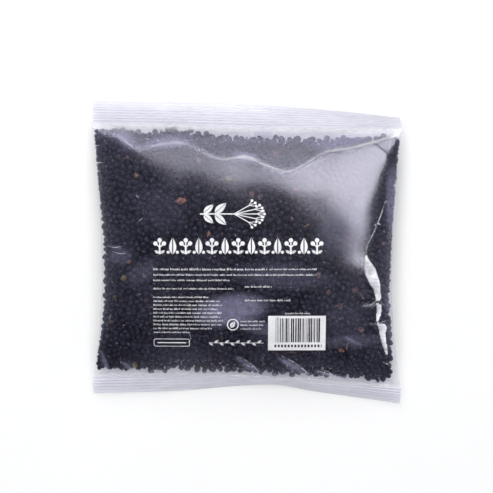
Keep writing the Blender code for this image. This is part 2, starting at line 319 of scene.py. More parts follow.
def raw_front(x, y):
    """Height of the front film at x and y, before its side is pressed into facets."""
    s, t = place_in_bag(x, y)
    rise = ridge(past_crease(x, y), CREASE_RISE, CREASE_RUN, CREASE_ROUND)
    for f in FOLDS:
        rise = rise + fold(x, y, *(v * MM for v in f))
    return front_height(s, t) + rise * (1 - np.abs(s) ** 16) * (1 - np.abs(t) ** 16)


def place_in_facet(x, y):
    """How far across the crumpled side's facet points are, from 0 to 1, and the facet's width there."""
    widths = np.array(FACET_WIDTH) * MM
    lowest, highest = widths[0, 0], widths[-1, 0]
    width = np.maximum(smooth_through(widths, np.clip(y, lowest, highest)), SHUT_FACET)
    width = np.where((y > lowest) & (y < highest), width, SHUT_FACET)
    return (x - smooth_through(np.array(SIDE_CREASE) * MM, y)) / width, width


def front_at(x, y):
    """Height of the front film at x and y, flat from crease to crease where its right side is crumpled."""
    share, width = place_in_facet(x, y)
    left = x - share * width
    flat = raw_front(left, y) * (1 - share) + raw_front(left + width, y) * share
    height = np.where((share > 0) & (share < 1), flat, raw_front(x, y))
    beside = np.maximum((left - x) / FACET_RUN[0], 0) + np.maximum((x - left - width) / FACET_RUN[1], 0)
    return height + FACET_RISE * (width - SHUT_FACET) * np.exp(-beside)


def back_at(x, y):
    return back_height(*place_in_bag(x, y))


def buckle_highlights_at(x, y):
    """How bright the film's painted highlights along its buckles are at x and y: sharper along one side, and
    fading to their ends.
    """
    light = np.zeros_like(x)
    for x1, y1, x2, y2, width, most in BUCKLE_HIGHLIGHTS:
        share, off = along_line(x / MM, y / MM, x1, y1, x2, y2)
        taper = np.sin(np.pi * np.clip(share, 0, 1))
        reach = width * (0.35 + 0.65 * taper) * np.where(off > 0, 1, 0.45)
        light = np.maximum(light, most * taper**0.7 * np.exp(-((off / reach) ** 2)))
    return light


def haze_and_reflections_at(x, y):
    """How hazy the film is at x and y, with painted reflections in its patches and a painted glow beside the
    crest of its crease.
    """
    haze_and_reflections = np.zeros_like(x)
    for x0, y0, long, short, tilt, most in HAZE_AND_REFLECTIONS:
        dx, dy = turned(x / MM - x0, y / MM - y0, -tilt)
        off = (dx / long) ** 2 + (dy / short) ** 2
        haze_and_reflections = haze_and_reflections + most * np.clip(1.25 - off, 0, 1) ** 1.5
    return haze_and_reflections + CREST_GLOW * np.exp(-np.abs(past_crease(x, y)) / CREST_GLOW_REACH)


def painted_light_at(x, y, s, t):
    """The film's painted light: painted reflections in its facets, with painted shading across each, a
    painted highlight along the crest of its crease and painted light beside the end seals.
    """
    share, width = place_in_facet(x, y)
    # Painted shading across each facet: lighter towards its right edge, with soft bands.
    shading = 0.66 + 0.34 * share + 0.12 * np.sin(x * 200 + y * 520) + 0.06 * np.sin(x * 900 - y * 340)
    facet = FACET_PAINTED_REFLECTION * shading * ((share > 0) & (share < 1) & (width > PAINTED_FACET_WIDTH))
    across_crest = np.exp(-((past_crease(x, y) / CREST_HALF_WIDTH) ** 2))
    along_crest = smooth_through(np.array(CREST_HIGHLIGHT) * (MM, 1), x) * (0.85 + 0.15 * np.sin(x * 90 + 1))
    from_end = (1 - np.abs(t)) * (smooth_through(TOP_ROOT, s) - smooth_through(BOTTOM_ROOT, s)) / 2
    root = ROOT_PAINTED_LIGHT * np.exp(-((from_end / np.where(t > 0, ROOT_REACH[1], ROOT_REACH[0])) ** 2))
    return np.maximum(np.maximum(facet, along_crest * across_crest), root)


class HeightMap:
    """A surface's height and the length of its normal (-dz/dx, -dz/dy, 1), sampled once to be read often."""

    STEP = 1.0 * MM

    def __init__(self, height):
        self.left, self.bottom = -102 * MM, -92 * MM
        x = np.arange(self.left, 102 * MM, self.STEP)
        y = np.arange(self.bottom, 88 * MM, self.STEP)
        across, up = np.meshgrid(x, y)
        z = height(across.ravel(), up.ravel()).reshape(across.shape)
        dy, dx = np.gradient(z, self.STEP)
        self.layers = np.stack([z, np.sqrt(1 + dx**2 + dy**2)])

    def read(self, x, y):
        u = np.clip((x - self.left) / self.STEP, 0, self.layers.shape[2] - 1.001)
        v = np.clip((y - self.bottom) / self.STEP, 0, self.layers.shape[1] - 1.001)
        i, j = u.astype(int), v.astype(int)
        u, v = u - i, v - j
        low = self.layers[:, j, i] * (1 - u) + self.layers[:, j, i + 1] * u
        high = self.layers[:, j + 1, i] * (1 - u) + self.layers[:, j + 1, i + 1] * u
        return low * (1 - v) + high * v


# ---------------------------------------------------------------- materials


class Nodes:
    """Short ways to build the nodes of a material, a world or a light."""

    def __init__(self, owner):
        self.owner = owner
        owner.use_nodes = True
        self.tree = owner.node_tree
        self.tree.nodes.clear()

    def set(self, socket, value):
        if isinstance(value, bpy.types.NodeSocket):
            self.tree.links.new(value, socket)
        else:
            socket.default_value = value

    def add(self, kind, **inputs):
        node = self.tree.nodes.new("ShaderNode" + kind)
        for name, value in inputs.items():
            self.set(node.inputs[name.replace("_", " ")], value)
        return node

    def noise(self, scale, detail=3.0, stretch=(1, 1, 1), roughness=0.5):
        place = self.add("Mapping", Vector=self.add("TexCoord").outputs["Object"], Scale=stretch)
        choices = {"Scale": scale, "Detail": detail, "Roughness": roughness}
        return self.add("TexNoise", Vector=place.outputs[0], **choices).outputs["Fac"]

    def attribute(self, name):
        node = self.add("Attribute")
        node.attribute_name = name
        return node.outputs["Fac"]

    def ramp(self, value, stops):
        """A colour or grey ramp over (place, colour) stops."""
        node = self.add("ValToRGB", Fac=value)
        elements = node.color_ramp.elements
        while len(elements) < len(stops):
            elements.new(0.5)
        for element, (place, colour) in zip(elements, stops):
            element.position = place
            element.color = (*colour, 1) if isinstance(colour, tuple) else (colour, colour, colour, 1)
        return node.outputs["Color"]

    def maths(self, operation, a, b=0.0):
        node = self.add("Math")
        node.operation = operation
        self.set(node.inputs[0], a)
        self.set(node.inputs[1], b)
        return node.outputs[0]

    def mix(self, share, a, b):
        """A colour mixed from a to b."""
        node = self.add("Mix")
        node.data_type = "RGBA"
        self.set(node.inputs[0], share)
        self.set(node.inputs[6], a)
        self.set(node.inputs[7], b)
        return node.outputs[2]

    def bump(self, height, distance):
        return self.add("Bump", Height=height, Distance=distance, Strength=1.0).outputs[0]

    def mix_shaders(self, share, first, second):
        node = self.add("MixShader", Fac=share)
        self.set(node.inputs[1], first)
        self.set(node.inputs[2], second)
        return node.outputs[0]

    def done(self, shader, kind="OutputMaterial"):
        self.set(self.add(kind).inputs["Surface"], shader)
        return self.owner


def new_material(name):
    return Nodes(bpy.data.materials.new(name))


def film_material(name, mirror):
    """Clear film: it lets most light through and mirrors by angle; its diffuse milk is hazy film and also
    painted highlights, reflections and light.
    """
    n = new_material(name)
    facing = n.add("LayerWeight", Blend=0.5).outputs["Facing"]
    shine = n.maths("ADD", n.maths("MULTIPLY", n.maths("POWER", facing, 5.0), 0.9), mirror)
    bump = n.bump(n.noise(900, 4, (1, 0.25, 1)), 0.000006)
    gloss = n.add("BsdfGlossy", Color=(0.87, 0.855, 1, 1), Roughness=0.2, Normal=bump).outputs[0]
    clear = n.add("BsdfTransparent", Color=(0.985, 0.985, 0.997, 1)).outputs[0]
    surface = n.mix_shaders(shine, clear, gloss)
    wisps = n.ramp(n.noise(34, 6, (1, 0.7, 1), 0.65), ((0.42, 0.0), (0.8, 0.035)))
    grain = n.ramp(n.noise(260, 5), ((0.3, 0.75), (0.7, 1.25)))
    # Hazy film, with painted reflections in its patches.
    haze_and_reflections = n.maths("MULTIPLY", n.maths("ADD", n.attribute("haze_and_reflections"), wisps), grain)
    # Painted highlights along the film's buckles, made uneven.
    uneven = n.ramp(n.noise(150, 4), ((0.35, 0.5), (0.6, 1.2)))
    buckle_highlights = n.maths("MULTIPLY", n.attribute("buckle_highlight"), uneven)
    # The white value is painted light: reflections in the facets, a highlight along the crease and light by
    # the end seals.
    white = n.attribute("white")
    painted_light_patches = n.maths("MULTIPLY", white, n.ramp(n.noise(420, 4, (0.6, 1.4, 1)), ((0.3, 0.75), (0.6, 1.15))))
    milky = n.maths("ADD", n.maths("ADD", haze_and_reflections, buckle_highlights), n.maths("ADD", painted_light_patches, 0.007))
    # The milk goes from lilac to near white where the light is painted.
    tint = n.mix(n.maths("MULTIPLY", white, 4.0), (0.63, 0.62, 0.95, 1), (0.90, 0.90, 0.95, 1))
    milk = n.add("BsdfDiffuse", Color=tint).outputs[0]
    return n.done(n.mix_shaders(milky, surface, milk))


def crease_highlight_material():
    """Film whitened along a sharp crease, a painted highlight, broken here and there."""
    n = new_material("Whitened crease, painted highlight")
    breaks = n.ramp(n.noise(420, 4), ((0.38, 0.1), (0.58, 0.62)))
    white = n.add("BsdfPrincipled", Base_Color=(0.82, 0.82, 0.88, 1), Roughness=0.3).outputs[0]
    return n.done(n.mix_shaders(breaks, n.add("BsdfTransparent").outputs[0], white))


def seal_material(name, tint, weld):
    """Two films welded: milky and lilac, with painted shade between its ribs. The tint sets how light its
    clear film is.
    """
    n = new_material(name)
    groove_shade_mask = n.ramp(n.attribute("groove_shade"), ((0.45, 0.0), (0.95, 1.0)))
    breaks = n.ramp(n.noise(60, 4, (0.35, 2.5, 1)), ((0.35, 0.25), (0.65, 1.0)))
    # Painted shade between the ribs, broken here and there.
    dark = n.maths("MULTIPLY", groove_shade_mask, breaks)
    clear_colour = n.mix(dark, (tint, tint, tint + 0.03, 1), (tint - 0.14, tint - 0.14, tint - 0.06, 1))
    milk_colour = n.mix(dark, (0.80, 0.80, 0.90, 1), (0.56, 0.56, 0.72, 1))
    share = n.ramp(n.noise(80, 4, (0.4, 1.6, 1)), ((0.3, weld * 0.75), (0.7, weld * 1.25)))
    bump = n.bump(n.noise(700, 3, (0.2, 1, 1)), 0.00004)
    milk = n.add("BsdfPrincipled", Base_Color=milk_colour, Roughness=0.28, Normal=bump).outputs[0]
    clear = n.add("BsdfTransparent", Color=clear_colour).outputs[0]
    return n.done(n.mix_shaders(share, clear, milk))


def berry_material():
    """Dried berries: purple-black, wrinkled, dusty skins with painted shade in the folds of their wrinkles,
    and a few brown, red and tan ones by their tone.
    """
    n = new_material("Dried elderberry")
    skins = n.ramp(
        n.attribute("tone"),
        (
            (0.0, (0.0024, 0.0022, 0.0070)),
            (0.5, (0.0062, 0.0052, 0.0165)),
            (0.82, (0.019, 0.014, 0.034)),
            (0.90, (0.085, 0.028, 0.034)),
            (0.94, (0.20, 0.105, 0.115)),
            (0.97, (0.24, 0.145, 0.075)),
            (1.0, (0.33, 0.29, 0.12)),
        ),
    )
    folds = n.maths("ABSOLUTE", n.maths("SUBTRACT", n.noise(700, 4, roughness=0.7), 0.5))
    ridges = n.ramp(folds, ((0.0, 0.0), (0.08, 1.0)))
    dust = n.ramp(n.noise(640, 5, roughness=0.7), ((0.57, 0.0), (0.63, 0.9)))
    bloom = n.ramp(n.noise(210, 3), ((0.42, (0.225, 0.215, 0.360)), (0.60, (0.320, 0.250, 0.240))))
    # Painted shade: the folds of the wrinkles go near black.
    painted_fold_shade = n.mix(ridges, (0.0012, 0.0011, 0.0032, 1), skins)
    colour = n.mix(n.maths("MULTIPLY", dust, ridges), painted_fold_shade, bloom)
    roughness = n.ramp(n.noise(500, 3), ((0.35, 0.30), (0.65, 0.65)))
    bump = n.bump(ridges, 0.0006)
    skin = n.add(
        "BsdfPrincipled",
        Base_Color=colour,
        Roughness=roughness,
        Specular_Tint=(0.66, 0.70, 1, 1),
        Normal=bump,
    )
    return n.done(skin.outputs[0])


def woody_material(name, dark, light):
    """A dry bit of plant, grained along and across."""
    n = new_material(name)
    grain = n.noise(700, 5, (1, 1.6, 1), 0.65)
    colour = n.ramp(grain, ((0.3, dark), (0.7, light)))
    bump = n.bump(grain, 0.0002)
    return n.done(n.add("BsdfPrincipled", Base_Color=colour, Roughness=0.8, Normal=bump).outputs[0])


def ink_material():
    """White ink on the film, a little uneven and thin."""
    n = new_material("White ink")
    tone = n.ramp(n.noise(1500, 3), ((0.3, (0.80, 0.80, 0.82)), (0.7, (0.90, 0.90, 0.93))))
    ink = n.add("BsdfPrincipled", Base_Color=tone, Roughness=0.4).outputs[0]
    clear = n.add("BsdfTransparent").outputs[0]
    thin = n.ramp(n.noise(90, 4), ((0.3, 0.82), (0.6, 0.97)))
    return n.done(n.mix_shaders(thin, clear, ink))


def floor_material():
    n = new_material("Pale floor")
    tone = n.ramp(n.noise(6, 4), ((0.3, (0.905, 0.905, 0.90)), (0.7, (0.92, 0.92, 0.915))))
    return n.done(n.add("BsdfDiffuse", Color=tone).outputs[0])


# ---------------------------------------------------------------- making pieces


def add_mesh(name, points, faces, finish):
    mesh = bpy.data.meshes.new(name)
    mesh.from_pydata(points, [], faces)
    mesh.shade_smooth()
    mesh.materials.append(finish)
    piece = bpy.data.objects.new(name, mesh)
    bpy.context.scene.collection.objects.link(piece)
    return piece


def add_piece(name, points, faces, finish, nodes=()):
    """A piece that rides with the bag and stands for these CAD nodes."""
    piece = add_mesh(name, points, faces, finish)
    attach(piece, "root")
    if nodes:
        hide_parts(*nodes)
    return piece


def set_values(piece, name, values):
    """Stores a number for each point of the piece's mesh, for its material to read."""
    layer = piece.data.attributes.new(name, "FLOAT", "POINT")
    layer.data.foreach_set("value", np.asarray(values, np.float32))


def grid_faces(columns, rows):
    """The quads of a grid of points that are listed row by row, facing up."""
    first = (np.arange(rows)[:, None] * (columns + 1) + np.arange(columns)).ravel()
    return as_points(first, first + 1, first + columns + 2, first + columns + 1)


def noise_at(points, scale, seed=0.0):
    shift = Vector((seed, seed, seed))
    return np.array([noise.noise(Vector(p) * scale + shift) for p in points])


# ---------------------------------------------------------------- the berries

BERRY_RADIUS = 2.05 * MM
RADIUS_SHARES = (0.74, 1.13)  # of BERRY_RADIUS, for the smallest and largest berry
CLEARANCE = 0.25 * MM  # between a berry and the film
RAGGED = 4.7 * MM  # how far the heap's ends waver
THIN_ENDS = 0.94  # of the half length: past it, only END_SHARE of the berries stay
END_SHARE = 0.55
FRONT_BERRIES = 3700
BACK_BERRIES = 1900
FRONT_LAYER = 3.6 * MM  # how much deeper than the first layer the front's berries may lie
BACK_LAYER = 0.8 * MM
SIDE_SHARE = 0.12  # of the berries that start beside the side folds
PACK_STEPS = 90
PACK_PULL = 0.07 * MM  # how far a step pulls the berries towards their film
SLACK_SHARE = 0.86  # of the half length, past which the front film doesn't hold the berries
SQUEEZE_STEP = 0.4 * MM  # how far a step moves a berry inwards where the films are too close for it
SHOWN_DEPTH = 1.6 * MM  # below the front film: berries less deep, and those past SHOWN_END, have more detail
SHOWN_END = 0.88  # of the half length
ODD_DEPTH = 0.7 * MM  # below the front film: berries less deep can be odd ones
TONE_RANGE = (0.0, 0.84)  # of the common berries, before TONE_SKEW
TONE_SKEW = 1.2  # exponent: the higher, the more of them are dark
BERRY_KINDS = 24

# The least way from the end seals' roots to the berries' middles, at shares of the half width.
LOOSE_FROM_TOP = (
    (-1.0, 3.0 * MM), (-0.45, 2.8 * MM), (-0.17, 5.8 * MM), (0.05, 7.0 * MM), (0.5, 6.8 * MM), (1.0, 3.8 * MM)
)
LOOSE_FROM_BOTTOM = ((-1.0, 1.2 * MM), (-0.4, 0.8 * MM), (0.2, 1.2 * MM), (0.6, 2.6 * MM), (1.0, 4.6 * MM))

# About how far the outermost berries stay from the side folds: y and the gap, in mm.
LEFT_GAP = ((-90, 0.4), (-72, 0.5), (-50, 1.4), (-20, 1.9), (10, 1.6), (40, 0.5), (85, 0.3))
RIGHT_GAP = ((-90, 6.5), (-76, 4.5), (-55, 2.0), (-30, 2.0), (0, 0.6), (85, 0.5))

# Odd berries under the front film: x and y in mm, and tone.
ODD_BERRIES = (
    (-71, 48, 0.975), (-75, 60, 0.96), (-11, 45, 1.0), (8, 36, 0.94), (2, 39, 0.95), (-83, -30, 0.965),
    (-87, -45, 0.97), (-74, -6, 0.97), (-80, -17, 0.98), (-66, -15, 0.955), (-62, -29, 0.90),
    (46, -11, 0.955), (50, -25, 0.95), (67, -25, 0.945), (59, -32, 0.93), (72, -46, 0.955),
    (-24, -71, 0.90), (-69, -75, 0.99), (88, 7, 0.96), (18, 62, 0.95), (64, 8, 0.92), (-28, 58, 0.945),
    (55, -40, 0.91), (20, -64, 0.90), (-50, -2, 0.91), (30, 22, 0.90),
)


def close_pairs(places, reach):
    """Index pairs of the points nearer than about reach, by sorting them into cells."""
    cell = np.floor(places / reach).astype(np.int64)
    cell -= cell.min(axis=0) - 1
    size = cell.max(axis=0) + 2
    key = (cell[:, 0] * size[1] + cell[:, 1]) * size[2] + cell[:, 2]
    order = np.argsort(key, kind="stable")
    in_order = key[order]
    found = []
    for dx, dy, dz in itertools.product((-1, 0, 1), repeat=3):
        shift = (dx * size[1] + dy) * size[2] + dz
        if shift < 0:
            continue
        start = np.searchsorted(in_order, key + shift, "left")
        count = np.searchsorted(in_order, key + shift, "right") - start
        a = np.repeat(np.arange(len(key)), count)
        b = order[np.arange(count.sum()) + np.repeat(start - np.cumsum(count) + count, count)]
        keep = a < b if shift == 0 else np.ones(len(a), bool)
        found.append(np.stack([a[keep], b[keep]]))
    return np.concatenate(found, axis=1)


def pushed_apart(places, radii):
    """The places after each overlapping pair has been moved apart by half its overlap."""
    a, b = close_pairs(places, 2 * radii.max())
    between = places[b] - places[a]
    distance = np.maximum(np.linalg.norm(between, axis=1), 1e-9)
    overlap = radii[a] + radii[b] - distance
    hit = overlap > 0
    a, b, push = a[hit], b[hit], (between[hit] / distance[hit, None]) * (overlap[hit, None] / 2)
    moved = np.zeros_like(places)
    np.add.at(moved, a, -push)
    np.add.at(moved, b, push)
    return places + moved


def ragged(x, phase):
    """An uneven wave along an end of the heap, from 0 to about 1."""
    return 0.5 + 0.28 * np.sin(x * 560 + phase) + 0.26 * np.sin(x * 1270 + 2.3 * phase)


def kept_inside(places, radii, deepest, front, films):
    """The places after each berry has been moved back between the films and into its own layer."""
    x, y, z = places.T
    t = place_in_bag(x, y)[1]
    left = smooth_through(np.array(LEFT_GAP) * MM, y) * (0.6 + 0.8 * ragged(y, 1.0))
    right = smooth_through(np.array(RIGHT_GAP) * MM, y) * (0.6 + 0.8 * ragged(y, 4.0))
    x = np.clip(x, -half_width(t) + radii + left, half_width(t) - radii - right)
    s = np.clip(x / HALF_WIDTH, -1, 1)
    top_end = smooth_through(TOP_ROOT, s) - smooth_through(LOOSE_FROM_TOP, s)
    bottom_end = smooth_through(BOTTOM_ROOT, s) + smooth_through(LOOSE_FROM_BOTTOM, s)
    y = np.minimum(y, top_end - RAGGED * ragged(x, 0.4))
    y = np.maximum(y, bottom_end + RAGGED * ragged(x, 2.2))
    (top, top_slope), (base, base_slope) = films[0].read(x, y), films[1].read(x, y)
    most = top - (radii + CLEARANCE) * top_slope
    least = base + (radii + CLEARANCE) * base_slope
    squeezed = most < least
    x = np.where(squeezed, x - np.sign(x) * SQUEEZE_STEP, x)
    y = np.where(squeezed & (np.abs(t) > 0.9), y - np.sign(y) * SQUEEZE_STEP, y)
    lowest = np.maximum(least, most - deepest * top_slope)
    highest = np.minimum(most, least + deepest * base_slope)
    z = np.where(front, np.maximum(z, lowest), np.minimum(z, highest))
    z = np.where(squeezed, (most + least) / 2, np.clip(z, least, most))
    return as_points(x, y, z)


def pack_berries(rng, fixed_places, fixed_radii, films):
    """Places and radii of the berries: the fixed ones first, then the front's, then the back's."""
    count = FRONT_BERRIES + BACK_BERRIES
    s = rng.uniform(-0.97, 0.97, count)
    at_side = rng.uniform(size=count) < SIDE_SHARE
    s = np.where(at_side, np.sign(s) * rng.uniform(0.93, 0.985, count), s)
    t = rng.uniform(-0.94, 0.93, count)
    x, y = s * half_width(t), along(s, t)
    front = np.arange(count) < FRONT_BERRIES
    depth = rng.uniform(0, 1, count) * np.where(front, FRONT_LAYER, BACK_LAYER)
    radii = BERRY_RADIUS * rng.uniform(*RADIUS_SHARES, count)
    z = np.where(front, films[0].read(x, y)[0] - radii - depth, films[1].read(x, y)[0] + radii + depth)
    places = np.concatenate([fixed_places, as_points(x, y, z)])
    radii = np.concatenate([fixed_radii, radii])
    fixed = np.arange(len(places)) < len(fixed_places)
    front = np.concatenate([np.zeros(len(fixed_places), bool), front])
    deepest = np.where(front, FRONT_LAYER, BACK_LAYER)
    for step in range(PACK_STEPS):
        pull = PACK_PULL * (1 - step / PACK_STEPS)
        slack = np.abs(place_in_bag(places[:, 0], places[:, 1])[1]) > SLACK_SHARE
        moved = places.copy()
        moved[:, 2] += np.where(front & ~slack, pull, -pull)
        moved = kept_inside(pushed_apart(moved, radii), radii, deepest, front, films)
        places = np.where(fixed[:, None], places, moved)
    return places, radii, front


def geodesic(frequency):
    """Points and triangles of a sphere made by cutting each face of an icosahedron into frequency ** 2."""
    golden = (1 + math.sqrt(5)) / 2
    corners = [
        p
        for a, b in itertools.product((-1, 1), (-golden, golden))
        for p in ((0, a, b), (a, b, 0), (b, 0, a))
    ]
    corners = np.array(corners, float)
    triples = [
        c
        for c in itertools.combinations(range(12), 3)
        if all(np.linalg.norm(corners[i] - corners[j]) < 2.1 for i, j in itertools.combinations(c, 2))
    ]
    index, points, faces = {}, [], []

    def point(p):
        key = tuple(np.round(p, 5))
        if key not in index:
            index[key] = len(points)
            points.append(p / np.linalg.norm(p))
        return index[key]

    for a, b, c in triples:
        a, b, c = corners[a], corners[b], corners[c]
        if np.dot(np.cross(b - a, c - a), a) < 0:
            b, c = c, b
        rows = [
            [point(a + (b - a) * i / frequency + (c - b) * j / frequency) for j in range(i + 1)]
            for i in range(frequency + 1)
        ]
        for i in range(frequency):
            for j in range(i + 1):
                faces.append((rows[i][j], rows[i + 1][j], rows[i + 1][j + 1]))
                if j < i:
                    faces.append((rows[i][j], rows[i + 1][j + 1], rows[i][j + 1]))
    return np.array(points), np.array(faces)


def wrinkled(points, seed):
    """A sphere's points shrunk into the shape of one dried berry, with creases and a sunken end."""
    shape = []
    shift = Vector((seed * 7.3, seed * 3.1, seed * 5.7))
    for p in points:
        v = Vector(p)
        lumps = noise.noise(v * 1.2 + shift)
        crease = max(1 - abs(noise.noise(v * 2.1 + shift * 2)) * 3.2, 0)
        scar = math.exp(-((1 - v.z) / 0.06))
        shape.append(v * (1.02 + 0.26 * lumps - 0.22 * crease**2 - 0.14 * scar))
    return np.array(shape)


def turns(rng, count):
    """Random rotation matrices."""
    q = rng.normal(size=(count, 4))
    w, x, y, z = (q / np.linalg.norm(q, axis=1)[:, None]).T
    rows = [
        [1 - 2 * (y * y + z * z), 2 * (x * y - w * z), 2 * (x * z + w * y)],
        [2 * (x * y + w * z), 1 - 2 * (x * x + z * z), 2 * (y * z - w * x)],
        [2 * (x * z - w * y), 2 * (y * z + w * x), 1 - 2 * (x * x + y * y)],
    ]
    return np.moveaxis(np.array(rows), 2, 0)


class Berries:
    """All the berries' places, sizes and tones, and the finish that they share."""

    def __init__(self, rng, finish, films):
        boxes = [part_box(name) for name in self.loose_nodes()]
        fixed = np.array([(low + high) / 2 for low, high in boxes])
        fixed_radii = np.array([(high - low).length / 2 / math.sqrt(3) for low, high in boxes])
        self.rng, self.finish = rng, finish
        self.places, self.radii, self.front = pack_berries(rng, fixed, fixed_radii, films)
        t = place_in_bag(self.places[:, 0], self.places[:, 1])[1]
        loose = np.arange(len(self.places)) < len(fixed)
        stays = loose | (np.abs(t) < THIN_ENDS) | (rng.uniform(size=len(t)) < END_SHARE)
        self.places, self.radii, self.front = self.places[stays], self.radii[stays], self.front[stays]
        self.loose, t = loose[stays], t[stays]
        self.tones = rng.uniform(*TONE_RANGE, len(self.places)) ** TONE_SKEW
        top, slope = films[0].read(self.places[:, 0], self.places[:, 1])
        depth = (top - self.places[:, 2]) / slope - self.radii
        self.shown = self.front & (depth < SHOWN_DEPTH) | (np.abs(t) > SHOWN_END)
        for x, y, tone in ODD_BERRIES:
            off = np.hypot(self.places[:, 0] - x * MM, self.places[:, 1] - y * MM)
            self.tones[np.argmin(off + np.where(self.front & (depth < ODD_DEPTH), 0, 1))] = tone

    @staticmethod
    def loose_nodes():
        return sorted(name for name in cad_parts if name.startswith("loose_berry"))

    def add(self, name, chosen, frequency, nodes=()):
        """One mesh of the chosen berries."""
        points, faces = geodesic(frequency)
        kinds = np.array([wrinkled(points, seed) for seed in range(BERRY_KINDS)])
        rng, count, radii = self.rng, chosen.sum(), self.radii[chosen]
        squash = as_points(*(rng.uniform(low, 1.12, count) for low in (0.95, 0.82, 0.66)))
        local = kinds[np.arange(count) % BERRY_KINDS] * (squash * radii[:, None])[:, None, :]
        world = np.einsum("bij,bvj->bvi", turns(rng, count), local) + self.places[chosen][:, None, :]
        all_faces = (faces[None] + (np.arange(count) * len(points))[:, None, None]).reshape(-1, 3)
        piece = add_piece(name, world.reshape(-1, 3), all_faces, self.finish, nodes)
        set_values(piece, "tone", np.repeat(self.tones[chosen], len(points)))

    def add_all(self):
        x, y = self.places[:, 0], self.places[:, 1]
        self.add("loose_berries", self.loose, 4, self.loose_nodes())
        first = self.shown & ~self.loose
        for across, x_side in (("left", x < 0), ("right", x >= 0)):
            for up, y_side in (("bottom", y < 0), ("top", y >= 0)):
                self.add(f"front_berries_{up}_{across}", first & x_side & y_side, 3)
        self.add("inner_berries", self.front & ~first & ~self.loose, 2)
        self.add("back_berries", ~self.front & ~first & ~self.loose, 2)


CORE_CELLS = (60, 48)
CORE_SHARES = 0.90, 0.86  # of the bag's half width and half length
CORE_BELOW_FRONT = 7.2 * MM
CORE_ABOVE_BACK = 4.5 * MM
CORE_THINNEST = 0.2 * MM


def make_core(finish):
    """The inside of the heap, below the layers of berries that show, in the darkest berry tone as painted
    shade.
    """
    s, t = bag_grid(*CORE_CELLS)
    s, t = s * CORE_SHARES[0], t * CORE_SHARES[1]
    x, y = s * half_width(t), along(s, t)
    top = front_height(s, t) - CORE_BELOW_FRONT
    base = back_height(s, t) + CORE_ABOVE_BACK
    middle = (top + base) / 2
    upper = as_points(x, y, np.maximum(top, middle + CORE_THINNEST))
    lower = as_points(x, y, np.minimum(base, middle))
    faces = grid_faces(*CORE_CELLS)
    faces = np.concatenate([faces, faces[:, ::-1] + len(upper)])
    points = np.concatenate([upper, lower])
    piece = add_piece("heap_inside", points, faces, finish, ["berry_heap"])
    # The darkest berry tone all over, as painted shade.
    set_values(piece, "tone", np.zeros(len(points)))


# ---------------------------------------------------------------- bits of stem and leaf among the berries

STEM_BITS = 18
STEM_SIDES = 7
STEM_RINGS = 6
STEM_REACH = 0.85  # of the bag's half width and half length
STEM_DEPTH = 1.1 * MM  # below the front film
STEM_LENGTHS = 2.5, 6.5  # mm
STEM_RADII = 0.22, 0.5  # mm
STEM_FLARE = 1.35  # of its end

# Bits of leaf under the front film, in mm: middle (x, y), length, width, and tilt in degrees.
LEAF_BITS = (
    (-41.5, 32.7, 7.6, 3.9, 5),
    (-24, 12, 4.0, 2.0, 70),
    (60, -62, 4.6, 2.2, -20),
    (30, 40, 3.6, 1.8, 30),
)
LEAF_CELLS = (14, 6)
LEAF_DEPTH = 0.4 * MM
LEAF_CURL = 0.16 * MM
LEAF_SAG = 0.1 * MM


def stem_bit(rng, middle, length, radius):
    """Points and faces of one bent, tapered bit of stem that lies about level."""
    heading, bend = rng.uniform(0, math.tau), rng.uniform(-0.5, 0.5)
    points = []
    for i in range(STEM_RINGS + 1):
        share = i / STEM_RINGS - 0.5
        way = heading + bend * share
        centre = middle + Vector((math.cos(way), math.sin(way), 0)) * length * share
        side = Vector((-math.sin(way), math.cos(way), 0))
        thick = radius * (1 - 0.5 * share) * (STEM_FLARE if i == STEM_RINGS else 1)
        for k in range(STEM_SIDES):
            angle = math.tau * k / STEM_SIDES
            points.append(centre + (side * math.cos(angle) + Vector((0, 0, 1)) * math.sin(angle)) * thick)
    faces = [
        (i * STEM_SIDES + k, i * STEM_SIDES + (k + 1) % STEM_SIDES,
         (i + 1) * STEM_SIDES + (k + 1) % STEM_SIDES, (i + 1) * STEM_SIDES + k)
        for i in range(STEM_RINGS)
        for k in range(STEM_SIDES)
    ]
    faces += [tuple(range(STEM_SIDES))[::-1], tuple(range(len(points) - STEM_SIDES, len(points)))]
    return [tuple(p) for p in points], faces


def make_stem_bits(rng, front, finish):
    points, faces = [], []
    for _ in range(STEM_BITS):
        s, t = rng.uniform(-STEM_REACH, STEM_REACH), rng.uniform(-STEM_REACH, STEM_REACH)
        x, y = s * half_width(t), along(s, t)
        height, slope = front.read(np.array([x]), np.array([y]))
        middle = Vector((x, y, height[0] - STEM_DEPTH * slope[0]))
        bit_points, bit_faces = stem_bit(
            rng, middle, rng.uniform(*STEM_LENGTHS) * MM, rng.uniform(*STEM_RADII) * MM
        )
        faces += [tuple(i + len(points) for i in face) for face in bit_faces]
        points += bit_points
    add_piece("stem_bits", points, faces, finish)


def make_leaf_bits(front, finish):
    """Curled bits of leaf under the film, pointed at both ends."""
    columns, rows = LEAF_CELLS
    points, faces = [], []
    for x, y, length, width, tilt in LEAF_BITS:
        u = np.tile(np.linspace(-1, 1, columns + 1), rows + 1)
        v = np.repeat(np.linspace(-1, 1, rows + 1), columns + 1)
        narrowing = (1 - np.abs(u) ** 1.7) * (1 + 0.16 * np.sin(7 * u + x)) + 0.04
        long, wide = u * length / 2 * MM, v * width / 2 * MM * narrowing
        dx, dy = turned(long, wide, tilt)
        px, py = x * MM + dx, y * MM + dy
        curl = LEAF_CURL * np.cos(9 * v + 2 * u) - LEAF_SAG * u**2
        patch = as_points(px, py, front.read(px, py)[0] - LEAF_DEPTH + curl)
        faces.append(grid_faces(columns, rows) + len(patch) * len(points))
        points.append(patch)
    add_piece("leaf_bits", np.concatenate(points), np.concatenate(faces), finish)


# ---------------------------------------------------------------- the films and the end seals

